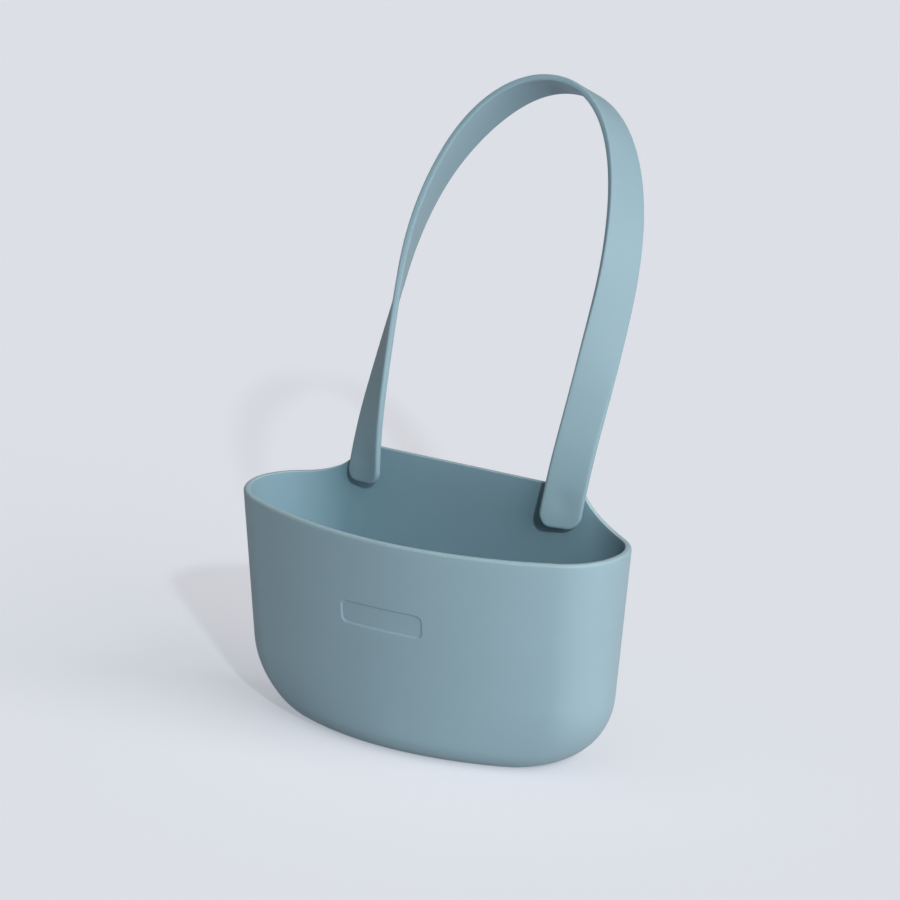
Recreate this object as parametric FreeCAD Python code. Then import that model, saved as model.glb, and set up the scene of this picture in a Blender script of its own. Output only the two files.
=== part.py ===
import FreeCAD, Part
import math
import os

from FreeCAD import Vector

# Kitchen sink caddy: a soft moulded pocket with a strap loop buttoned to the inside of its back wall.
# Millimetres. The origin is on the underside of the base, in the middle of the width and of the rim's
# depth. +Z is up, the front wall faces -Y and the back wall faces +Y.

# Pocket, outside sizes, with the width and depth measured at the height of the ends
pocket_width = 130.0
pocket_depth = 55.0
back_height = 82.0
end_drop = 11.0
front_dip = 1.2
wall = 2.0
base_thickness = 2.4
front_bow = 11.0
front_draft = math.radians(10.0)
end_draft = math.radians(4.5)
end_bottom_radius = 23.0
front_bottom_radius = 7.0
back_bottom_radius = 9.0
bottom_levels = 6
rim_flat = 0.4

# Raised back edge and the hollow curves that run down from it to the ends
tab_overhang = 1.5
tab_corner_radius = 4.0
flare_end_margin = 5.3

# Bare label recess on the front wall
label_width = 28.0
label_height = 6.2
label_corner = 2.0
label_depth = 0.4
label_drop = 25.4

# Drain holes in the base
drain_diameter = 4.0
drain_pitch = 12.0
drain_count = 5

# Strap band
strap_width = 12.7
strap_thickness = 2.8
strap_edge_radius = 0.7
strap_end_inset = 30.0
strap_end_corner = 4.5
strap_wall_clearance = 0.3
flex_clearance = 0.6
flex_gap = 0.3

# Free loop of the strap
arch_lean = math.radians(18.7)
arch_spread = 1.5
arch_leg_length = 55.8
arch_rise = 63.5
arch_curl = math.radians(16.0)
twist_exponent = 2.3
leg_stations = 5
crown_stations = 7

# Mushroom studs and their button holes
stud_neck_diameter = 4.6
stud_head_diameter = 8.4
stud_head_length = 2.6
stud_rim_length = 0.9
stud_tip_diameter = 5.0
stud_bulge = 0.3
stud_hole_clearance = 0.3
stud_drop = 6.1
stud_end_margin = 6.4

# Distance that cutting bodies run past the faces they cut
overcut = 5.0

# Derived sizes and places
end_height = back_height - end_drop
front_height = end_height - front_dip
end_plan_radius = (pocket_depth - front_bow) / 2
rim_rounding = (wall - rim_flat) / 2
back_inside = pocket_depth / 2 - wall
widest_y = pocket_depth / 2 - end_plan_radius
strap_x = pocket_width / 2 - strap_end_inset
strap_mid_y = back_inside - strap_wall_clearance - strap_thickness / 2
flex_z = back_height + strap_thickness / 2 + flex_clearance
stud_z = back_height - stud_drop
strap_end_bottom = stud_z - stud_end_margin
arch_half_width = strap_x + arch_spread


def mirrored(point):
    return Vector(-point.x, point.y, point.z)


def round_in(radius, height):
    # How far a bottom round of this radius draws a wall in, at a height above the form's underside
    if height >= radius:
        return 0.0
    return radius - math.sqrt(radius ** 2 - (radius - height) ** 2)


def front_wall_y(z):
    # Outside of the leaning front wall, in the middle of the width
    return math.tan(front_draft) * (end_height - z) - pocket_depth / 2


def plan_wire(z, inset, underside):
    # Level outline of the pocket: straight back, two arcs round each end and one shallow front arc
    height = z - underside
    half = pocket_width / 2 - inset - math.tan(end_draft) * (end_height - z)
    half -= round_in(end_bottom_radius - inset, height)
    front = front_wall_y(z) + inset + round_in(front_bottom_radius - inset, height)
    back = pocket_depth / 2 - inset - round_in(back_bottom_radius - inset, height)
    depth = back - front
    end = (end_plan_radius - inset) * depth / (pocket_depth - 2 * inset)
    across = half - end
    along = depth - end
    front_radius = (across ** 2 + along ** 2 - end ** 2) / (2 * (along - end))
    end_centre = Vector(across, back - end, z)
    front_centre = Vector(0, front + front_radius, z)
    outward = (end_centre - front_centre).normalize()
    join = end_centre + outward * end
    start_angle = math.atan2(outward.y, outward.x)

    def on_end(angle):
        return end_centre + Vector(math.cos(angle), math.sin(angle), 0) * end

    corner = on_end(math.pi / 2)
    high = on_end(math.pi / 4)
    widest = on_end(0)
    low = on_end(start_angle / 2)
    edges = [
        Part.makeLine(mirrored(corner), corner),
        Part.Arc(corner, high, widest).toShape(),
        Part.Arc(widest, low, join).toShape(),
        Part.Arc(join, Vector(0, front, z), mirrored(join)).toShape(),
        Part.Arc(mirrored(join), mirrored(low), mirrored(widest)).toShape(),
        Part.Arc(mirrored(widest), mirrored(high), mirrored(corner)).toShape(),
    ]
    return Part.Wire(edges)


def pocket_form(inset, underside, top):
    # Solid pocket shape, set in from the outside: a rounded bottom under straight drafted walls
    rounding = max(end_bottom_radius, front_bottom_radius, back_bottom_radius) - inset
    turns = [math.pi / 2 * step / bottom_levels for step in range(bottom_levels + 1)]
    levels = [underside + rounding * (1 - math.cos(turn)) for turn in turns]
    bottom = Part.makeLoft([plan_wire(z, inset, underside) for z in levels], True, False)
    straight = [levels[-1], top]
    walls = Part.makeLoft([plan_wire(z, inset, underside) for z in straight], True, True)
    return bottom.fuse(walls)


def above_front_rim(top):
    # Space above the front rim, which climbs slightly from the front to the ends
    front = -pocket_depth / 2
    slope = front_dip / (widest_y - front)
    reach = front - overcut
    outline = Part.makePolygon([
        Vector(0, reach, front_height - slope * overcut),
        Vector(0, widest_y, end_height),
        Vector(0, widest_y, top),
        Vector(0, reach, top),
        Vector(0, reach, front_height - slope * overcut),
    ])
    reach_x = pocket_width / 2 + overcut
    face = Part.Face(outline)
    face.translate(Vector(-reach_x, 0, 0))
    return face.extrude(Vector(2 * reach_x, 0, 0))


def above_back_rim(top):
    # Space above the back rim: raised tab, rounded tab corners and a hollow flare down to each end
    flare_end = pocket_width / 2 - flare_end_margin
    run = flare_end - strap_x - tab_overhang
    flare_radius = (run ** 2 + end_drop ** 2) / (2 * end_drop)
    flare_centre = Vector(flare_end, 0, end_height + flare_radius)
    corner_z = back_height - tab_corner_radius
    reach = flare_radius + tab_corner_radius
    corner_x = flare_end - math.sqrt(reach ** 2 - (flare_centre.z - corner_z) ** 2)
    corner_centre = Vector(corner_x, 0, corner_z)
    towards = (corner_centre - flare_centre).normalize()
    meet = flare_centre + towards * flare_radius
    down = Vector(0, 0, -1)
    flare_mid = flare_centre + (towards + down).normalize() * flare_radius
    corner_mid = corner_centre + (Vector(0, 0, 1) - towards).normalize() * tab_corner_radius
    flare_foot = Vector(flare_end, 0, end_height)
    tab_end = Vector(corner_x, 0, back_height)
    reach_x = pocket_width / 2 + overcut
    low_right = Vector(reach_x, 0, end_height)
    high_right = Vector(reach_x, 0, top)
    edges = [
        Part.makeLine(mirrored(tab_end), tab_end),
        Part.Arc(tab_end, corner_mid, meet).toShape(),
        Part.Arc(meet, flare_mid, flare_foot).toShape(),
        Part.makeLine(flare_foot, low_right),
        Part.makeLine(low_right, high_right),
        Part.makeLine(high_right, mirrored(high_right)),
        Part.makeLine(mirrored(high_right), mirrored(low_right)),
        Part.makeLine(mirrored(low_right), mirrored(flare_foot)),
        Part.Arc(mirrored(flare_foot), mirrored(flare_mid), mirrored(meet)).toShape(),
        Part.Arc(mirrored(meet), mirrored(corner_mid), mirrored(tab_end)).toShape(),
    ]
    face = Part.Face(Part.Wire(edges))
    face.translate(Vector(0, widest_y, 0))
    return face.extrude(Vector(0, end_plan_radius + overcut, 0))


def rounded_rectangle(centre, right, up, width, height, corner):
    # Closed outline of four lines and four quarter arcs, in the plane of two unit directions
    edges = []
    turns = [(right, up), (up, right * -1), (right * -1, up * -1), (up * -1, right)]
    halves = [width / 2, height / 2, width / 2, height / 2]
    starts = []
    ends = []
    middles = []
    for index, (along, next_along) in enumerate(turns):
        pivot = centre + along * (halves[index] - corner) + next_along * (halves[(index + 1) % 4] - corner)
        starts.append(pivot + along * corner)
        middles.append(pivot + (along + next_along).normalize() * corner)
        ends.append(pivot + next_along * corner)
    for index in range(4):
        edges.append(Part.Arc(starts[index], middles[index], ends[index]).toShape())
        edges.append(Part.makeLine(ends[index], starts[(index + 1) % 4]))
    return Part.Wire(edges)


def label_recess(outside, top):
    # Shallow panel of even depth, sunk square into the leaning front wall
    skin = outside.cut(pocket_form(label_depth, label_depth, top + overcut))
    up = Vector(0, -math.sin(front_draft), math.cos(front_draft))
    inward = Vector(0, math.cos(front_draft), math.sin(front_draft))
    label_z = front_height - label_drop
    centre = Vector(0, front_wall_y(label_z), label_z)
    outline = rounded_rectangle(
        centre - inward * overcut, Vector(1, 0, 0), up, label_width, label_height, label_corner)
    return Part.Face(outline).extrude(inward * (2 * overcut)).common(skin)


def rim_edges(pocket):
    # Inner and outer border of the rim, whose faces are the flat ones above the bottom round and the
    # round ones of the back edge
    borders = {}
    for face in pocket.Faces:
        level = isinstance(face.Surface, Part.Plane) and face.CenterOfMass.z > end_bottom_radius
        if level or isinstance(face.Surface, Part.Cylinder):
            for edge in face.Edges:
                borders.setdefault(edge.hashCode(), []).append(edge)
    return [edges[0] for edges in borders.values() if len(edges) == 1]


def make_pocket():
    top = back_height + overcut
    outside = pocket_form(0.0, 0.0, top)
    inside = pocket_form(wall, base_thickness, top + overcut)
    pocket = outside.cut(inside)
    pocket = pocket.cut(above_front_rim(top + overcut)).cut(above_back_rim(top + overcut))
    pocket = pocket.makeFillet(rim_rounding, rim_edges(pocket))
    pocket = pocket.cut(label_recess(outside, top))
    base_front = front_wall_y(0) + front_bottom_radius
    base_back = pocket_depth / 2 - back_bottom_radius
    for index in range(drain_count):
        x = (index - (drain_count - 1) / 2) * drain_pitch
        start = Vector(x, (base_front + base_back) / 2, -overcut)
        pocket = pocket.cut(Part.makeCylinder(drain_diameter / 2, base_thickness + 2 * overcut, start))
    hole_radius = stud_neck_diameter / 2 + stud_hole_clearance
    for side in (-1, 1):
        start = Vector(side * strap_x, back_inside - overcut, stud_z)
        pocket = pocket.cut(Part.makeCylinder(hole_radius, wall + 2 * overcut, start, Vector(0, 1, 0)))
    return pocket.Solids[0]


def make_strap_end(side):
    # Flat end of the band on the wall: round lower corners, and a round top edge at the flex line
    centre_x = side * strap_x
    half = strap_thickness / 2
    left = centre_x - strap_width / 2
    length = flex_z - strap_end_bottom
    corner = Vector(left, strap_mid_y - half, strap_end_bottom)
    plate = Part.makeBox(strap_width, strap_thickness, length, corner)
    roll = Part.makeCylinder(half, strap_width, Vector(left, strap_mid_y, flex_z), Vector(1, 0, 0))
    body = plate.fuse(roll).removeSplitter()
    face_height = length + half + strap_end_corner
    face_centre = Vector(centre_x, strap_mid_y - strap_thickness, strap_end_bottom + face_height / 2)
    outline = rounded_rectangle(
        face_centre, Vector(1, 0, 0), Vector(0, 0, 1), strap_width, face_height, strap_end_corner)
    body = body.common(Part.Face(outline).extrude(Vector(0, 2 * strap_thickness, 0)))

    def is_seam(edge):
        # Where two faces already run smoothly into each other: square to the wall, or along the flex line
        way = edge.tangentAt(edge.FirstParameter)
        along_flex = abs(way.x) > 0.5 and abs(edge.CenterOfMass.z - flex_z) < half / 2
        return abs(way.y) > 0.5 or along_flex

    return body.makeFillet(strap_edge_radius, [edge for edge in body.Edges if not is_seam(edge)])


def make_stud(side):
    # Neck through the button hole and a tapered head with a rounded tip behind the wall
    neck = stud_neck_diameter / 2
    head = stud_head_diameter / 2
    tip = stud_tip_diameter / 2
    start = strap_mid_y + strap_thickness / 2
    under = pocket_depth / 2 + strap_wall_clearance
    end = under + stud_head_length
    rim = under + stud_rim_length
    x = side * strap_x

    def at(radius, y):
        return Vector(x + radius, y, stud_z)

    slant = Vector(end - rim, head - tip, 0).normalize() * stud_bulge
    bulge = at((head + tip) / 2, (rim + end) / 2) + slant
    edges = [
        Part.makeLine(at(0, start), at(neck, start)),
        Part.makeLine(at(neck, start), at(neck, under)),
        Part.makeLine(at(neck, under), at(head, under)),
        Part.makeLine(at(head, under), at(head, rim)),
        Part.Arc(at(head, rim), bulge, at(tip, end)).toShape(),
        Part.makeLine(at(tip, end), at(0, end)),
        Part.makeLine(at(0, end), at(0, start)),
    ]
    profile = Part.Face(Part.Wire(edges))
    return profile.revolve(Vector(x, 0, stud_z), Vector(0, 1, 0), 360)


def leaning_place(distance):
    # Side view of the loop: a straight leaning leg, then an even backward curl over the crown
    straight = min(distance, arch_leg_length)
    angle = arch_lean
    y = strap_mid_y + straight * math.sin(arch_lean)
    z = flex_z + straight * math.cos(arch_lean)
    if distance > arch_leg_length:
        radius = arch_rise / arch_curl
        angle = arch_lean + (distance - arch_leg_length) / radius
        y += radius * (math.cos(arch_lean) - math.cos(angle))
        z += radius * (math.sin(angle) - math.sin(arch_lean))
    return y, z, angle


def half_arch_stations():
    # Half spacing, distance up the leaning plane and direction there, from the flex line to the crown
    root = strap_thickness / 2 + flex_gap
    stations = []
    for step in range(leg_stations):
        distance = root + (arch_leg_length - root) * step / leg_stations
        share = (distance - root) / (arch_leg_length - root)
        half = strap_x + arch_spread * math.sin(math.pi / 2 * share) ** 2
        sideways = arch_spread * math.pi / 2 * math.sin(math.pi * share) / (arch_leg_length - root)
        stations.append((half, distance, sideways, 1.0))
    for step in range(crown_stations + 1):
        turn = math.pi / 2 * step / crown_stations
        half = arch_half_width * math.cos(turn)
        distance = arch_leg_length + arch_rise * math.sin(turn)
        stations.append((half, distance, -arch_half_width * math.sin(turn), arch_rise * math.cos(turn)))
    return stations


def half_arch_frames():
    # Centre, width direction and face normal at each station of the right half. The band lies flat on
    # the wall at the flex line and turns a quarter turn on its way to the crown.
    stations = half_arch_stations()
    centres = []
    for half, distance, sideways, upward in stations:
        y, z, angle = leaning_place(distance)
        centres.append(Vector(half, y, z))
    lengths = [0.0]
    for before, after in zip(centres, centres[1:]):
        lengths.append(lengths[-1] + (after - before).Length)
    frames = []
    for centre, length, (half, distance, sideways, upward) in zip(centres, lengths, stations):
        y, z, angle = leaning_place(distance)
        across = Vector(1, 0, 0)
        along = Vector(0, math.sin(angle), math.cos(angle))
        front = Vector(0, -math.cos(angle), math.sin(angle))
        tangent = (across * sideways + along * upward).normalize()
        outward = across * tangent.dot(along) - along * tangent.dot(across)
        twist = math.pi / 2 * (1 - (1 - length / lengths[-1]) ** twist_exponent)
        normal = front * math.cos(twist) + outward * math.sin(twist)
        frames.append((centre, tangent.cross(normal), normal))
    return frames, lengths[-1]


def make_strap_arch():
    right, half_length = half_arch_frames()
    left = [tuple(mirrored(vector) for vector in frame) for frame in right]
    frames = left + right[-2::-1]
    sections = []
    for centre, width_way, normal in frames:
        sections.append(rounded_rectangle(
            centre, width_way, normal, strap_width, strap_thickness, strap_edge_radius))
    arch = Part.makeLoft(sections, True, False)
    area = Part.Face(sections[0]).Area
    print("strap arch volume over section times length:", round(arch.Volume / (area * 2 * half_length), 3))
    return arch


def main():
    os.makedirs("parts", exist_ok=True)
    pieces = {
        "pocket": make_pocket(),
        "strap_arch": make_strap_arch(),
        "left_strap_end": make_strap_end(-1),
        "right_strap_end": make_strap_end(1),
        "left_stud": make_stud(-1),
        "right_stud": make_stud(1),
    }
    for name, shape in pieces.items():
        print(name, "valid", shape.isValid(), "solids", len(shape.Solids), "volume", round(shape.Volume, 1))
        shape.exportStep("parts/" + name + ".step")


main()
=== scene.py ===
from math import asin, atan2, cos, hypot, pi, radians, sin, sqrt, tan

import bmesh
import bpy
import numpy as np
from mathutils import Matrix, Vector


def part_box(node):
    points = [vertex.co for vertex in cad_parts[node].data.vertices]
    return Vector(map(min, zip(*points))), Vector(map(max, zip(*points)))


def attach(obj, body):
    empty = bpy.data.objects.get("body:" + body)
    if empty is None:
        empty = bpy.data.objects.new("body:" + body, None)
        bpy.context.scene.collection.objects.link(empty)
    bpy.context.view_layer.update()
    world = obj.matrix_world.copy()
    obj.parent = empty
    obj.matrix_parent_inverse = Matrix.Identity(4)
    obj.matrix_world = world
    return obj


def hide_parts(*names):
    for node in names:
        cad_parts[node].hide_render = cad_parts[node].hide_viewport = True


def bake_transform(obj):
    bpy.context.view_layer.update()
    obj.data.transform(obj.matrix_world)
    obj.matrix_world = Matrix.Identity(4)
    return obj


# Kitchen sink caddy: a soft moulded pocket with a twisted strap loop buttoned inside its back wall.
# Sizes are in millimetres unless a note says metres, and become metres where a mesh is made.

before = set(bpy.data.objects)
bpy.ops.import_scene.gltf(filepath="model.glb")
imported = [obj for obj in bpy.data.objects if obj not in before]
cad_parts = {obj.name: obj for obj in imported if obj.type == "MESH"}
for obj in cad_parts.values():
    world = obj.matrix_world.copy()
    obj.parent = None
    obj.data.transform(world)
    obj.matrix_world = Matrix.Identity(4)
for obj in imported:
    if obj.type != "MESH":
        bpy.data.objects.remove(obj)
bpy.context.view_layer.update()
mm = 0.001
scene = bpy.context.scene
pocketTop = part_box("pocket")[1].z / mm
print("frame loaded, pocket height", round(pocketTop, 1), "mm")


# Shader helpers

class Wire:
    # one shader socket; sums, differences and products with numbers or other sockets become Math nodes
    def __init__(self, finish, socket):
        self.finish = finish
        self.socket = socket

    def math(self, operation, first, second):
        return self.finish.add("ShaderNodeMath", {"operation": operation}, {0: first, 1: second})

    def __add__(self, other):
        return self.math("ADD", self, other)

    def __sub__(self, other):
        return self.math("SUBTRACT", self, other)

    def __mul__(self, other):
        return self.math("MULTIPLY", self, other)

    def __radd__(self, other):
        return self.math("ADD", other, self)

    def __rsub__(self, other):
        return self.math("SUBTRACT", other, self)

    def __rmul__(self, other):
        return self.math("MULTIPLY", other, self)


class Finish:
    # one material and its node tree; inputs 6 and 7 and output 2 of a Mix node are its colours
    def __init__(self, name):
        self.material = bpy.data.materials.new(name)
        self.material.use_nodes = True
        self.tree = self.material.node_tree
        self.tree.nodes.clear()

    def add(self, kind, settings=None, inputs=None, output=0):
        node = self.tree.nodes.new(kind)
        for key, value in (settings or {}).items():
            if key == "stops":
                self.setStops(node.color_ramp, value)
            else:
                setattr(node, key, value)
        for key, value in (inputs or {}).items():
            if isinstance(value, Wire):
                self.tree.links.new(value.socket, node.inputs[key])
            else:
                node.inputs[key].default_value = value
        return Wire(self, node.outputs[output]) if node.outputs else None

    def setStops(self, ramp, stops):
        while len(ramp.elements) < len(stops):
            ramp.elements.new(0.5)
        for element, (place, tone) in zip(ramp.elements, stops):
            element.position = place
            element.color = (tone, tone, tone, 1)

    def surface(self, shader):
        self.add("ShaderNodeOutputMaterial", None, {"Surface": shader})
        return self.material


# Mesh helpers

def makePiece(name, points, faces, material):
    mesh = bpy.data.meshes.new(name)
    mesh.from_pydata([tuple(point) for point in np.asarray(points) * mm], [], faces)
    mesh.validate()
    piece = bpy.data.objects.new(name, mesh)
    scene.collection.objects.link(piece)
    mesh.materials.append(material)
    return piece


def smoothPiece(piece, sharpAngle):
    mesh = piece.data
    mesh.polygons.foreach_set("use_smooth", [True] * len(mesh.polygons))
    mesh.set_sharp_from_angle(angle=radians(sharpAngle))
    mesh.update()


def gridFaces(rows, columns):
    # quads of a rows x columns point grid whose last column joins the first
    faces = []
    for row in range(rows - 1):
        here = row * columns
        for column in range(columns):
            after = (column + 1) % columns
            faces.append((here + column, here + after, here + columns + after, here + columns + column))
    return faces


def stretches(*parts):
    # steps of chosen size: each part is start, end, step, and the next part starts where it ended
    values = []
    for start, end, step in parts:
        count = max(1, round((end - start) / step))
        values.extend(np.linspace(start, end, count, endpoint=False))
    return values + [parts[-1][1]]


# Rubber finishes

rubber = {
    "pocketTone": (0.306, 0.456, 0.518),
    "insideShadeTone": (0.228, 0.376, 0.446),     # the pocket's inside: a darker, more saturated tone, painted shade of the hollow
    "rimHighlightTone": (0.350, 0.500, 0.555),        # a paler tone along the top of the rim, a painted highlight
    "strapTone": (0.253, 0.392, 0.453),
    "mottleSize": 26.0,      # broad unevenness of the moulding
    "mottleAmount": 0.035, "mottleDetail": 3.0,
    "cloudSize": 0.21, "cloudAmount": 0.5,   # a finer unevenness, as shares of the broad one
    "grainSize": 0.55,       # fine matt grain
    "grainDepth": 0.012, "grainStrength": 0.35, "grainGloss": 0.06, "grainRoughness": 0.6,
    "fineDetail": 2.0,       # octaves of the two finer patterns
    "roughness": 0.56,
    "roughnessSpread": 0.10,
    "dustSize": 7.0,         # spacing of the pale specks of dust
    "dustAmount": 0.05, "dustTone": (0.8, 0.82, 0.84),
    "dustFade": [(0.0, 1.0), (0.035, 0.55), (0.06, 0.0)],    # from the middle of a speck outwards
    "ior": 1.42, "sheen": 0.08, "sheenRoughness": 0.6,
}


def rubberFinish(name, coordinates, baseTone):
    finish = Finish(name)
    if coordinates == "UV":
        place = finish.add("ShaderNodeUVMap", {"uv_map": "band"})
    else:
        place = finish.add("ShaderNodeTexCoord", None, None, "Object")

    def noise(size, detail, rough=0.5):
        return finish.add("ShaderNodeTexNoise", None, {
            "Vector": place, "Scale": 1 / (size * mm), "Detail": detail, "Roughness": rough})

    mottle = noise(rubber["mottleSize"], rubber["mottleDetail"])
    cloud = noise(rubber["mottleSize"] * rubber["cloudSize"], rubber["fineDetail"])
    grain = noise(rubber["grainSize"], rubber["fineDetail"], rubber["grainRoughness"])
    cells = finish.add("ShaderNodeTexVoronoi", {"feature": "F1"}, {
        "Vector": place, "Scale": 1 / (rubber["dustSize"] * mm)})
    dust = finish.add("ShaderNodeValToRGB", {"stops": rubber["dustFade"]}, {"Fac": cells})
    shade = 1 + rubber["mottleAmount"] * (2 * mottle - 1)
    shade = shade + rubber["mottleAmount"] * rubber["cloudAmount"] * (2 * cloud - 1)
    tone = finish.add("ShaderNodeMix", {"data_type": "RGBA", "blend_type": "MULTIPLY"}, {
        "Factor": 1.0, 6: (*baseTone, 1), 7: finish.add("ShaderNodeCombineColor", None, {
            "Red": shade, "Green": shade, "Blue": shade})}, 2)
    dusty = finish.add("ShaderNodeMix", {"data_type": "RGBA", "blend_type": "MIX"}, {
        "Factor": dust * rubber["dustAmount"], 6: tone, 7: (*rubber["dustTone"], 1)}, 2)
    gloss = rubber["roughness"] + rubber["roughnessSpread"] * (cloud - 0.5)
    gloss = gloss + rubber["grainGloss"] * (grain - 0.5)
    bump = finish.add("ShaderNodeBump", None, {
        "Strength": rubber["grainStrength"], "Distance": rubber["grainDepth"] * mm, "Height": grain})
    shader = finish.add("ShaderNodeBsdfPrincipled", None, {
        "Base Color": dusty, "Roughness": gloss, "Normal": bump,
        "IOR": rubber["ior"], "Sheen Weight": rubber["sheen"], "Sheen Roughness": rubber["sheenRoughness"]})
    return finish.surface(shader)


pocketRubber = rubberFinish("pocketRubber", "Object", rubber["pocketTone"])
# painted shade: a darker finish for the faces inside the pocket
insideShadeRubber = rubberFinish("insideShadeRubber", "Object", rubber["insideShadeTone"])
# painted highlight: a paler finish for the top of the rim
rimHighlightRubber = rubberFinish("rimHighlightRubber", "Object", rubber["rimHighlightTone"])
strapRubber = rubberFinish("strapRubber", "UV", rubber["strapTone"])
studRubber = rubberFinish("studRubber", "Object", rubber["strapTone"])
print("rubber finishes made")


# Pocket: one thin shell from the outside of the base, over the rim and down the inside

pocket = {
    "width": 130.0, "depth": 55.0,           # at the height of the ends
    "backHeight": pocketTop,
    "endDrop": 11.0, "frontDip": 1.2,
    "wall": 2.0, "base": 2.4,
    "frontBow": 11.0,
    "frontDraft": radians(10.0), "endDraft": radians(4.5),
    "endRound": 23.0, "frontRound": 7.0, "backRound": 9.0,
    "lipOuter": 1.0, "lipInner": 0.25,       # rounding of the rim outside and inside
    "highlightFrom": 0.6,                         # share of the outer rounding where the painted highlight along the rim top begins
    "tabHalf": 38.6, "tabCorner": 4.0, "flareEnd": 57.0,
    "labelSize": (28.2, 7.2), "labelCorner": 2.0, "labelDepth": 0.4,
    "labelX": -0.9, "labelDrop": 25.25,      # middle of the recess, below the front rim
    "labelSlope": 0.75,                      # width of the recess's sloping border
    "drainRadius": 2.0, "drainPitch": 12.0, "drainCount": 5,
    "buttonRadius": 2.6, "buttonX": 35.0, "buttonZ": 75.9,
    "holeEdge": 0.3, "holeEdgeSteps": 3, "holeSides": 40,
    "holeReach": 4.0,                        # half length of the cuts
    "nearRim": 0.01, "sameLevel": 0.05,      # how exactly an edge has to lie on a hole's rim
    "weld": 0.02,                            # points this near are joined where a cut leaves a sliver
    "plainFront": 17.0,                      # half width of the front where columns stand at a fixed x
    "plainTop": 62.0,                        # below this the rows are level
    "settleRounds": 6,
    "frontSteps": 14, "endSteps": 44, "bottomSteps": 20, "riseSteps": 5, "lipSteps": 6,
    "labelStep": 0.15, "fieldStep": 0.5,     # mesh spacing on the recess's border and inside it
    "frontStep": 1.3, "besideStep": 0.7, "wallStep": 2.6, "upperStep": 2.4,
    "nearEnd": 0.3, "nearStep": 0.012, "backStep": 0.04,    # shares of the back, closer near its ends
    "sharpAngle": 40,
}
endHeight = pocket["backHeight"] - pocket["endDrop"]
frontHeight = endHeight - pocket["frontDip"]
endRadius = (pocket["depth"] - pocket["frontBow"]) / 2
widestY = pocket["depth"] / 2 - endRadius
labelZ = frontHeight - pocket["labelDrop"]


def roundIn(radius, height):
    if height >= radius:
        return 0.0
    return radius - sqrt(max(0.0, radius ** 2 - (radius - height) ** 2))


def plan(z, inset, underside):
    # level outline at a height: centres and radii of its end and front arcs
    height = z - underside
    half = pocket["width"] / 2 - inset - tan(pocket["endDraft"]) * (endHeight - z)
    half -= roundIn(pocket["endRound"] - inset, height)
    front = inset - pocket["depth"] / 2 + tan(pocket["frontDraft"]) * (endHeight - z)
    front += roundIn(pocket["frontRound"] - inset, height)
    back = pocket["depth"] / 2 - inset - roundIn(pocket["backRound"] - inset, height)
    depth = back - front
    end = (endRadius - inset) * depth / (pocket["depth"] - 2 * inset)
    across = half - end
    along = depth - end
    bow = (across ** 2 + along ** 2 - end ** 2) / (2 * (along - end))
    return {"across": across, "end": end, "endY": back - end, "back": back, "bow": bow, "bowY": front + bow}


def planPoint(column, z, inset, underside):
    # a column is a stretch of the outline and a place along it, on the right half
    shape = plan(z, inset, underside)
    stretch, share = column
    join = atan2(shape["across"], shape["bowY"] - shape["endY"])
    if stretch == "plain":
        return share, shape["bowY"] - sqrt(shape["bow"] ** 2 - share ** 2)
    if stretch == "front":
        start = asin(pocket["plainFront"] / shape["bow"])
        turn = start + (join - start) * share
        return shape["bow"] * sin(turn), shape["bowY"] - shape["bow"] * cos(turn)
    if stretch == "end":
        turn = join + (pi - join) * share
        return shape["across"] + shape["end"] * sin(turn), shape["endY"] - shape["end"] * cos(turn)
    return shape["across"] * (1 - share), shape["back"]


flareRun = pocket["flareEnd"] - pocket["tabHalf"]
flareRadius = (flareRun ** 2 + pocket["endDrop"] ** 2) / (2 * pocket["endDrop"])
cornerZ = pocket["backHeight"] - pocket["tabCorner"]
cornerReach = flareRadius + pocket["tabCorner"]
cornerX = pocket["flareEnd"] - sqrt(cornerReach ** 2 - (endHeight + flareRadius - cornerZ) ** 2)
meetX = cornerX + (pocket["flareEnd"] - cornerX) * pocket["tabCorner"] / cornerReach


def rimHeight(x, y):
    if y <= widestY:
        return endHeight - pocket["frontDip"] * (widestY - y) / (widestY + pocket["depth"] / 2)
    if x >= pocket["flareEnd"]:
        return endHeight
    if x >= meetX:
        return endHeight + flareRadius - sqrt(flareRadius ** 2 - (pocket["flareEnd"] - x) ** 2)
    if x >= cornerX:
        return cornerZ + sqrt(pocket["tabCorner"] ** 2 - (x - cornerX) ** 2)
    return pocket["backHeight"]


def columnRim(column):
    # the rim's height depends on the place and the place on the height, so both settle in a few rounds
    z = endHeight
    for _ in range(pocket["settleRounds"]):
        z = rimHeight(*planPoint(column, z, pocket["wall"] / 2, 0.0))
    return z


def labelSink(x, z):
    # how deep the bare label recess is at a place on the front wall
    wide, high = pocket["labelSize"]
    corner = pocket["labelCorner"]
    overX = abs(x - pocket["labelX"]) - wide / 2 + corner
    overZ = abs(z - labelZ) / cos(pocket["frontDraft"]) - high / 2 + corner
    outside = hypot(max(overX, 0), max(overZ, 0)) + min(max(overX, overZ), 0) - corner
    share = min(1.0, max(0.0, 0.5 - outside / pocket["labelSlope"]))
    return pocket["labelDepth"] * share * share * (3 - 2 * share)


def pocketColumns():
    wide = pocket["labelSize"][0] / 2
    corner = pocket["labelCorner"]
    reach = pocket["labelSlope"] + abs(pocket["labelX"])
    start, end = wide - corner - reach, wide + reach
    xs = stretches((0, start, pocket["frontStep"]), (start, end, pocket["labelStep"]),
                   (end, pocket["plainFront"], pocket["besideStep"]))
    columns = [("plain", x) for x in xs]
    for stretch, count in (("front", pocket["frontSteps"]), ("end", pocket["endSteps"])):
        columns += [(stretch, step / count) for step in range(1, count + 1)]
    near = pocket["nearEnd"]
    shares = stretches((0, near, pocket["nearStep"]), (near, 1, pocket["backStep"]))
    columns += [("back", share) for share in shares[1:]]
    return columns


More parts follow.
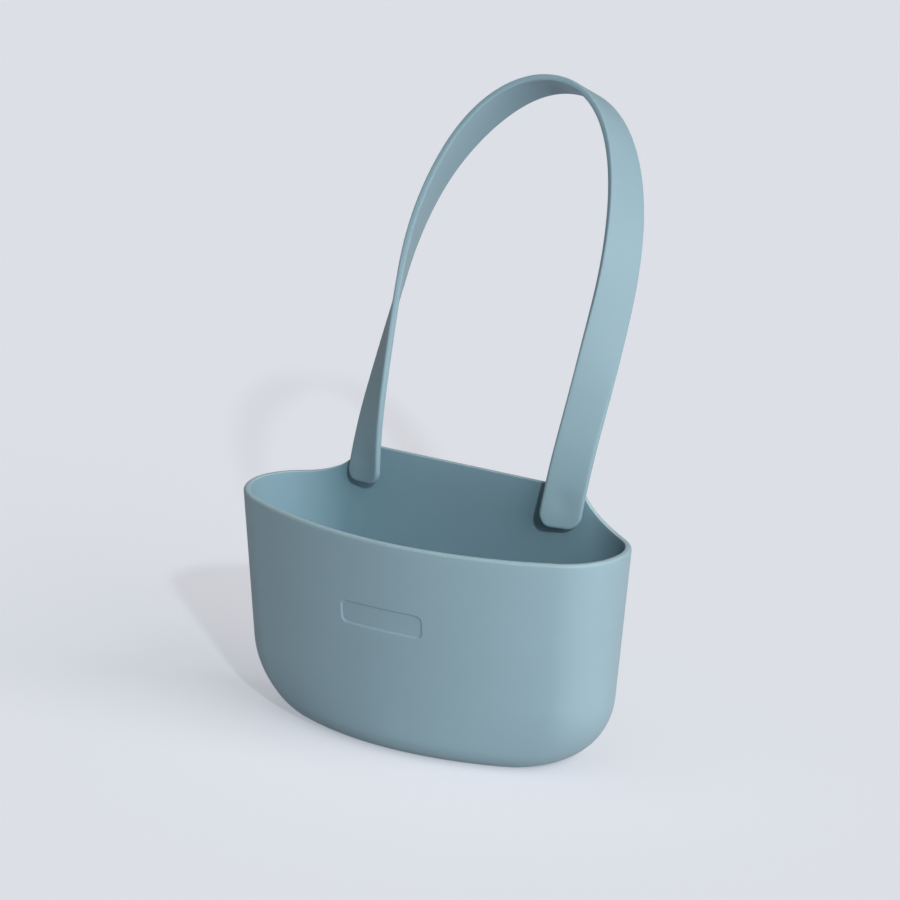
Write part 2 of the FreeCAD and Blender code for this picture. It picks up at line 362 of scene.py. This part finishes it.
def pocketRows():
    # profile of the shell from below, over the rim and down inside: kind, inset, underside and a value,
    # which is a height on the wall, a share of the rise from the plain top, or a share of the lip's turn
    high = pocket["labelSize"][1] / 2 * cos(pocket["frontDraft"])
    corner = pocket["labelCorner"]
    deepest = pocket["endRound"]
    bottom, rise, lip = pocket["bottomSteps"], pocket["riseSteps"], pocket["lipSteps"]
    rows = [("wall", 0.0, 0.0, deepest * (1 - cos(pi / 2 * step / bottom))) for step in range(bottom + 1)]
    low, top = labelZ - high, labelZ + high
    slope, fine = pocket["labelSlope"], pocket["labelStep"]
    levels = stretches((deepest, low - slope, pocket["wallStep"]), (low - slope, low + corner, fine),
                       (low + corner, top - corner, pocket["fieldStep"]), (top - corner, top + slope, fine),
                       (top + slope, pocket["plainTop"], pocket["upperStep"]))
    rows += [("wall", 0.0, 0.0, z) for z in levels[1:]]
    rows += [("rise", 0.0, 0.0, step / rise) for step in range(1, rise + 1)]
    rows += [("lip", 0.0, 0.0, step / lip) for step in range(1, lip + 1)]
    inner, base = pocket["wall"], pocket["base"]
    rows += [("lip", inner, 0.0, 1 - step / lip) for step in range(lip)]
    rows += [("rise", inner, base, 1 - step / rise) for step in range(rise + 1)]
    innerRound = deepest - inner
    levels = stretches((base + innerRound, pocket["plainTop"], pocket["wallStep"]))
    rows += [("wall", inner, base, z) for z in levels[-2::-1]]
    rows += [("wall", inner, base, base + innerRound * (1 - cos(pi / 2 * step / bottom)))
             for step in range(bottom - 1, -1, -1)]
    return rows


def pocketPoint(column, row, rim, side):
    kind, inset, underside, value = row
    lip = pocket["lipOuter"] if inset == 0 else pocket["lipInner"]
    if kind == "wall":
        x, y = planPoint(column, value, inset, underside)
        if inset == 0 and column[0] == "plain":
            sink = labelSink(side * x, value)
            return x, y + sink * cos(pocket["frontDraft"]), value + sink * sin(pocket["frontDraft"])
        return x, y, value
    if kind == "rise":
        level = pocket["plainTop"]
        z = level + (rim - lip - level) * value
        return (*planPoint(column, z, inset, underside), z)
    turn = pi / 2 * value
    away = lip * (1 - cos(turn))
    z = rim - lip + lip * sin(turn)
    return (*planPoint(column, z, away if inset == 0 else inset - away, underside), z)


def cutHoles(piece, holes):
    # each hole is a centre, a direction and a radius; their edges are then rounded
    reach = pocket["holeReach"]
    for centre, way, radius in holes:
        cutter = bmesh.new()
        bmesh.ops.create_cone(cutter, cap_ends=True, segments=pocket["holeSides"],
                              radius1=radius * mm, radius2=radius * mm, depth=2 * reach * mm)
        turn = Vector((0, 0, 1)).rotation_difference(Vector(way)).to_matrix().to_4x4()
        bmesh.ops.transform(cutter, matrix=Matrix.Translation(Vector(centre) * mm) @ turn, verts=cutter.verts)
        mesh = bpy.data.meshes.new("cutter")
        cutter.to_mesh(mesh)
        cutter.free()
        tool = bpy.data.objects.new("cutter", mesh)
        scene.collection.objects.link(tool)
        cut = piece.modifiers.new("cut", "BOOLEAN")
        cut.operation = "DIFFERENCE"
        cut.solver = "EXACT"
        cut.object = tool
        done = bpy.data.meshes.new_from_object(piece.evaluated_get(bpy.context.evaluated_depsgraph_get()))
        piece.modifiers.clear()
        bpy.data.objects.remove(tool)
        old = piece.data
        piece.data = done
        bpy.data.meshes.remove(old)
    shell = bmesh.new()
    shell.from_mesh(piece.data)
    bmesh.ops.remove_doubles(shell, verts=shell.verts, dist=pocket["weld"] * mm)
    edges = []
    for edge in shell.edges:
        for centre, way, radius in holes:
            places = [vert.co / mm - Vector(centre) for vert in edge.verts]
            along = [place.dot(way) for place in places]
            away = [(place - Vector(way) * place.dot(way)).length for place in places]
            onRim = max(abs(value - radius) for value in away) < pocket["nearRim"]
            if onRim and abs(along[0] - along[1]) < pocket["sameLevel"] and abs(along[0]) < reach:
                edges.append(edge)
    bmesh.ops.bevel(shell, geom=edges, offset=pocket["holeEdge"] * mm, segments=pocket["holeEdgeSteps"],
                    profile=0.5, affect="EDGES")
    shell.to_mesh(piece.data)
    shell.free()


def makePocket():
    columns = pocketColumns()
    rows = pocketRows()
    rims = [columnRim(column) for column in columns]
    halves = []
    for side in (1, -1):
        points = [[pocketPoint(column, row, rim, side) for column, rim in zip(columns, rims)]
                  for row in rows]
        halves.append(np.array(points) * (side, 1, 1))
    halves[0][:, -1, 0] = 0.0                # the middle of the back
    grid = np.concatenate([halves[0], halves[1][:, -2:0:-1]], axis=1)
    rowCount, columnCount = grid.shape[:2]
    faces = gridFaces(rowCount, columnCount)
    faces.append(tuple(range(columnCount))[::-1])
    faces.append(tuple((rowCount - 1) * columnCount + column for column in range(columnCount)))
    piece = makePiece("pocket_shell", grid.reshape(-1, 3), faces, pocketRubber)
    piece.data.materials.append(insideShadeRubber)
    piece.data.materials.append(rimHighlightRubber)
    underside = len(faces) - 2               # the last two faces close the base below and inside
    for index, polygon in enumerate(piece.data.polygons):
        kind, inset, _, value = rows[min(index // columnCount, rowCount - 1)]
        # the faces on top of the rim take the pale finish, a painted highlight
        if kind == "lip" and (value > pocket["highlightFrom"] or inset > 0):
            polygon.material_index = 2
        # the faces inside the pocket take the darker finish, painted shade of the hollow
        elif inset > 0 and index != underside:
            polygon.material_index = 1
    baseFront = tan(pocket["frontDraft"]) * endHeight + pocket["frontRound"] - pocket["depth"] / 2
    drainY = (baseFront + pocket["depth"] / 2 - pocket["backRound"]) / 2
    middle = (pocket["drainCount"] - 1) / 2
    holes = [(((index - middle) * pocket["drainPitch"], drainY, pocket["base"] / 2), (0, 0, 1),
              pocket["drainRadius"]) for index in range(pocket["drainCount"])]
    wallY = (pocket["depth"] - pocket["wall"]) / 2
    holes += [((side * pocket["buttonX"], wallY, pocket["buttonZ"]), (0, 1, 0), pocket["buttonRadius"])
              for side in (-1, 1)]
    cutHoles(piece, holes)
    smoothPiece(piece, pocket["sharpAngle"])
    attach(piece, "pocket")
    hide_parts("pocket")
    return piece


pocketShell = makePocket()
print("pocket made,", len(pocketShell.data.vertices), "points")


# Strap: one continuous band from the lower left end over the crown to the lower right end

strap = {
    "width": 12.7, "endWidth": 13.2, "thickness": 2.1, "endCorner": 4.6,
    "edge": 0.6, "endEdge": 0.95,                  # rounding of the edges in the loop and at the ends
    "endX": 34.8, "endY": 22.0, "endZ": 70.3,      # middle of the band at its lower end
    "leftShift": (-1.1, 0, 0.6), "rightShift": (-1.5, 0, -0.5),     # where the ends sit out of true
    "flexZ": 84.0, "bendBelow": 5.0, "bendAbove": 9.5,    # swing axis height, bent length either side
    "tailLean": radians(-0.9), "lean": radians(20.9), "leanLength": 30.3,
    "leg": 67.5, "halfSpan": 36.7,                 # nearly straight length and half span at its top
    "rise": 66.3, "curl": radians(12.4),
    "fullness": 2.066,                             # 2 is an ellipse
    # share of the way from the left end to the right end, degrees the face is turned outwards
    "twist": [(0.0, 13), (0.1, 39), (0.2, 62), (0.32, 82), (0.42, 95.5), (0.5, 84.5),
              (0.57, 75.5), (0.68, 58.5), (0.8, 40), (0.86, 25), (0.92, 18), (1.0, 18)],
    "sections": 130, "endSections": 16, "acrossFace": 10, "roundSteps": 7,
    "legPoints": 600, "crownPoints": 1200, "slopeStep": 0.4,      # fineness of the path
    "sharpAngle": 50,
    "dimpleDepth": 0.35, "dimpleRadius": 3.4, "dimpleAt": 8.2,    # faint sink opposite each stud
}


def strapPath():
    # fine points of the right half from the lower end to the crown: place, lean, length
    legUp = np.linspace(0, strap["leg"], strap["legPoints"], endpoint=False)
    turn = np.linspace(0, pi / 2, strap["crownPoints"])
    crownX = strap["halfSpan"] * np.cos(turn).clip(0) ** (2 / strap["fullness"])
    crownUp = strap["leg"] + strap["rise"] * np.sin(turn) ** (2 / strap["fullness"])
    legX = strap["endX"] + (strap["halfSpan"] - strap["endX"]) * np.sin(pi / 2 * legUp / strap["leg"])
    across = np.concatenate([legX, crownX])
    up = np.concatenate([legUp, crownUp])
    lean = strap["tailLean"] + (strap["lean"] - strap["tailLean"]) * np.clip(up / strap["leanLength"], 0, 1)
    lean += strap["curl"] * np.clip((up - strap["leg"]) / strap["rise"], 0, 1)
    step = np.diff(up)
    middle = (lean[1:] + lean[:-1]) / 2
    y = strap["endY"] + np.concatenate([[0], np.cumsum(step * np.sin(middle))])
    z = strap["endZ"] + np.concatenate([[0], np.cumsum(step * np.cos(middle))])
    place = np.stack([across, y, z], 1)
    length = np.concatenate([[0], np.cumsum(np.linalg.norm(np.diff(place, axis=0), axis=1))])
    return place, lean, length


def unit(vectors):
    return vectors / np.linalg.norm(vectors, axis=1, keepdims=True)


def smoothTable(table, wanted):
    # smooth curve through a table of places and values
    places, values = np.array(table).T
    slopes = np.gradient(values, places)
    before = np.clip(np.searchsorted(places, wanted, "right") - 1, 0, len(places) - 2)
    span = places[before + 1] - places[before]
    t = (wanted - places[before]) / span
    rise = t * t * (3 - 2 * t)
    ends = values[before] * (1 - rise) + values[before + 1] * rise
    return ends + span * t * (1 - t) * ((1 - t) * slopes[before] - t * slopes[before + 1])


def strapFrames():
    # sections of the whole band: place, width direction, face normal and distance from the left end;
    # the last value is the band's length
    place, lean, length = strapPath()
    half = length[-1]
    corner = strap["endCorner"]
    near = corner * (1 - np.cos(np.linspace(0, pi / 2, strap["endSections"])))
    wanted = np.concatenate([near, np.linspace(corner, half, strap["sections"])[1:]])

    def pathAt(distances):
        return np.stack([np.interp(distances, length, place[:, axis]) for axis in range(3)], 1)

    right = pathAt(wanted)
    tilt = np.interp(wanted, length, lean)
    along = unit(pathAt(wanted + strap["slopeStep"]) - pathAt(wanted - strap["slopeStep"]))
    along[-1] = (-1, 0, 0)
    forward = np.stack([np.zeros_like(tilt), -np.cos(tilt), np.sin(tilt)], 1)
    forward = unit(forward - along * (forward * along).sum(1, keepdims=True))
    outward = np.cross(along, forward)

    def turned(share):
        twist = np.radians(smoothTable(strap["twist"], share))[:, None]
        normal = np.cos(twist) * forward + np.sin(twist) * outward
        return right, np.cross(along, normal), normal

    # the left half has the mirrored path and its own twist; both width directions agree at the crown
    flip = np.array([-1, 1, 1])
    leftHalf = [vectors * flip for vectors in turned(wanted / half / 2)]
    rightHalf = turned(1 - wanted / half / 2)
    whole = [np.concatenate([a, b[-2::-1]]) for a, b in zip(leftHalf, rightHalf)]
    distance = np.concatenate([wanted, 2 * half - wanted[-2::-1]])
    for shift, fromEnd in (("leftShift", distance), ("rightShift", 2 * half - distance)):
        fade = np.clip(1 - fromEnd / strap["leanLength"], 0, 1)[:, None]
        whole[0] += fade ** 2 * strap[shift]
    return (*whole, distance, 2 * half)


def bandSection(halfWidth, halfThick, edge):
    # outline of one section: across the front face, round an edge, across the rear face, round the other
    points = []
    flat = halfWidth - edge
    shares = np.linspace(-1, 1, strap["acrossFace"] + 1)
    turns = np.linspace(0, pi, 2 * strap["roundSteps"] + 1)[1:-1]
    for side in (1, -1):
        points += [(side * flat * share, side * halfThick) for share in shares]
        for turn in turns:
            level = 1 if turn < pi / 2 else -1 if turn > pi / 2 else 0
            drop = (halfThick - edge) * level + edge * cos(turn)
            points.append((side * (flat + edge * sin(turn)), side * drop))
    return np.array(points)


def makeStrap():
    place, width, normal, distance, total = strapFrames()
    grid = []
    for index, along in enumerate(distance):
        fromEnd = min(along, total - along)
        corner = strap["endCorner"]
        widen = max(0.0, 1 - fromEnd / strap["leanLength"])
        halfWidth = (strap["width"] + (strap["endWidth"] - strap["width"]) * widen) / 2
        halfThick = strap["thickness"] / 2
        edge = strap["edge"] + (strap["endEdge"] - strap["edge"]) * max(0.0, 1 - fromEnd / strap["leg"])
        if fromEnd < corner:
            halfWidth -= corner - sqrt(corner ** 2 - (corner - fromEnd) ** 2)
        if fromEnd < edge:
            halfThick -= edge - sqrt(edge ** 2 - (edge - fromEnd) ** 2)
        section = bandSection(halfWidth, halfThick, min(edge, halfThick))
        away = np.hypot(section[:, 0], fromEnd - strap["dimpleAt"]) / strap["dimpleRadius"]
        section[:, 1] -= strap["dimpleDepth"] * np.exp(-away ** 2) * (section[:, 1] > halfThick - edge)
        grid.append(place[index] + section[:, :1] * width[index] + section[:, 1:] * normal[index])
    grid = np.array(grid)[:, ::-1]           # so that the faces look outwards
    rows, columns = grid.shape[:2]
    faces = gridFaces(rows, columns)
    faces.append(tuple(range(columns))[::-1])
    faces.append(tuple((rows - 1) * columns + column for column in range(columns)))
    piece = makePiece("strap_band", grid.reshape(-1, 3), faces, strapRubber)
    addBandMap(piece, distance, columns)
    smoothPiece(piece, strap["sharpAngle"])
    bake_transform(piece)
    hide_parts("strap_arch", "left_strap_end", "right_strap_end")
    return piece


def addBandMap(piece, distance, columns):
    # map in metres: along the band and round its section
    layer = piece.data.uv_layers.new(name="band")
    girthStep = strap["width"] * 2 / columns
    for polygon in piece.data.polygons:
        for loop in polygon.loop_indices:
            vertex = piece.data.loops[loop].vertex_index
            column = vertex % columns
            if column == 0 and any(piece.data.loops[other].vertex_index % columns == columns - 1
                                   for other in polygon.loop_indices):
                column = columns
            layer.data[loop].uv = (distance[vertex // columns] * mm, column * girthStep * mm)


strapBand = makeStrap()
print("strap made,", len(strapBand.data.vertices), "points")


# Studs: mushroom buttons on the back of the strap ends

stud = {
    "neck": 2.3, "head": 4.2, "tip": 2.4, "headLength": 2.6, "rim": 0.9,
    "underHead": 27.8, "root": 22.25, "fillet": 0.5, "headEdge": 0.3,
    "sides": 40, "edgePoints": 5, "domePoints": 12, "sharpAngle": 45,
}


def studProfile():
    neck, head, under = stud["neck"], stud["head"], stud["underHead"]
    tip = under + stud["headLength"]
    fillet, edge = stud["fillet"], stud["headEdge"]
    turns = np.linspace(0, pi / 2, stud["edgePoints"])
    points = [(neck, stud["root"]), (neck, under - fillet)]
    points += [(neck + fillet * (1 - cos(turn)), under - fillet + fillet * sin(turn)) for turn in turns[1:]]
    points += [(head - edge + edge * sin(turn), under + edge - edge * cos(turn)) for turn in turns]
    rim = under + stud["rim"]
    for share in np.linspace(0, 1, stud["domePoints"]):
        turn = pi / 2 * share
        points.append((stud["tip"] + (head - stud["tip"]) * cos(turn), rim + (tip - rim) * sin(turn)))
    return points


def makeStud(side, name):
    profile = studProfile()
    sides = stud["sides"]
    middleX, middleZ = side * pocket["buttonX"], pocket["buttonZ"]
    points = []
    for radius, y in profile:
        for step in range(sides):
            turn = 2 * pi * step / sides
            points.append((middleX + radius * sin(turn), y, middleZ + radius * cos(turn)))
    rows = len(profile)
    faces = gridFaces(rows, sides)
    faces.append(tuple(range(sides))[::-1])
    faces.append(tuple((rows - 1) * sides + step for step in range(sides)))
    piece = makePiece(name + "_button", points, faces, studRubber)
    smoothPiece(piece, stud["sharpAngle"])
    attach(piece, "strap_ends")
    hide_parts(name)
    return piece


studs = [makeStud(-1, "left_stud"), makeStud(1, "right_stud")]
print(len(studs), "studs made")


# Floor, light and camera

stage = {
    "floorTone": (0.480, 0.492, 0.524),
    "floorGlow": (0.366, 0.388, 0.421),               # what a camera sees added to the lit floor
    "floorSize": 14.0,                                # metres across
    "floorRoughness": 0.8, "floorSpread": 0.05, "floorGrain": 3.0, "floorDetail": 2.0,
    "underBaseShade": {"X": (0.0, 29.0), "Y": (5.3, 5.0)},   # painted shade: no glow on the floor below the base and its drain holes: middle, half size
    "worldTone": (1.0, 1.0, 1.0), "worldLevel": 0.07,
}
lamps = {
    "key": {"azimuth": 42, "elevation": 28, "level": 1.14, "spread": 2.5, "tone": (0.89, 1.0, 1.05)},
    "side": {"azimuth": 80, "elevation": 25, "level": 2.34, "spread": 60, "tone": (1.07, 1.0, 0.98)},
    "top": {"azimuth": 0, "elevation": 80, "level": 0.5, "spread": 60, "tone": (1.1, 1.0, 0.94)},
}
view = {
    "azimuth": 30.215, "elevation": 15.631, "roll": 3.155,
    "aim": (-3.861, 18.585, 88.049), "distance": 1952.7, "lens": 257.39, "sensor": 36.0,
    "reach": 100.0,                                   # metres the camera sees
}


def towards(azimuth, elevation):
    # direction from the object to a lamp or camera; azimuth 0 is in front, 90 to the right
    a, e = radians(azimuth), radians(elevation)
    return Vector((sin(a) * cos(e), -cos(a) * cos(e), sin(e)))


def makeFloor():
    finish = Finish("paleFloor")
    grain = finish.add("ShaderNodeTexNoise", None, {
        "Scale": stage["floorGrain"], "Detail": stage["floorDetail"]})
    gloss = stage["floorRoughness"] + stage["floorSpread"] * (grain - 0.5)
    seen = finish.add("ShaderNodeLightPath", None, None, "Is Camera Ray")
    for ray in ("Is Glossy Ray", "Is Transmission Ray"):
        seen = seen + finish.add("ShaderNodeLightPath", None, None, ray)
    place = finish.add("ShaderNodeTexCoord", None, None, "Object")
    # painted shade: the floor's glow is left out under the base, so the drain holes show dark
    underBaseShade = 1
    for axis, (middle, half) in stage["underBaseShade"].items():
        along = finish.add("ShaderNodeSeparateXYZ", None, {"Vector": place}, axis)
        underBaseShade = underBaseShade * finish.add("ShaderNodeMath", {"operation": "COMPARE"}, {
            0: along, 1: middle * mm, 2: half * mm})
    seen = seen * (1 - underBaseShade)
    glow = finish.add("ShaderNodeMix", {"data_type": "RGBA"}, {
        "Factor": seen, 6: (0, 0, 0, 1), 7: (*stage["floorGlow"], 1)}, 2)
    shader = finish.add("ShaderNodeBsdfPrincipled", None, {
        "Base Color": (*stage["floorTone"], 1), "Roughness": gloss, "Specular IOR Level": 0.0,
        "Emission Color": glow, "Emission Strength": 1.0})
    half = stage["floorSize"] / 2
    mesh = bpy.data.meshes.new("floor")
    corners = [(-half, -half, 0), (half, -half, 0), (half, half, 0), (-half, half, 0)]
    mesh.from_pydata(corners, [], [(0, 1, 2, 3)])
    mesh.materials.append(finish.surface(shader))
    floor = bpy.data.objects.new("floor", mesh)
    scene.collection.objects.link(floor)


def makeLight():
    world = bpy.data.worlds.new("softRoom")
    scene.world = world
    world.use_nodes = True
    background = world.node_tree.nodes["Background"]
    background.inputs["Color"].default_value = (*stage["worldTone"], 1)
    background.inputs["Strength"].default_value = stage["worldLevel"]
    for name, lamp in lamps.items():
        light = bpy.data.lights.new(name, "SUN")
        light.energy = lamp["level"]
        light.color = lamp["tone"]
        light.angle = radians(lamp["spread"])
        holder = bpy.data.objects.new(name, light)
        holder.rotation_euler = towards(lamp["azimuth"], lamp["elevation"]).to_track_quat("Z", "Y").to_euler()
        scene.collection.objects.link(holder)


def makeCamera():
    data = bpy.data.cameras.new("camera")
    data.lens = view["lens"]
    data.sensor_width = view["sensor"]
    data.clip_end = view["reach"]
    camera = bpy.data.objects.new("camera", data)
    back = towards(view["azimuth"], view["elevation"])
    turned = back.to_track_quat("Z", "Y").to_matrix() @ Matrix.Rotation(radians(view["roll"]), 3, "Z")
    place = (Vector(view["aim"]) + back * view["distance"]) * mm
    camera.matrix_world = Matrix.Translation(place) @ turned.to_4x4()
    scene.collection.objects.link(camera)
    scene.camera = camera


makeFloor()
makeLight()
makeCamera()
scene.view_settings.view_transform = "Standard"
print("floor, light and camera made")
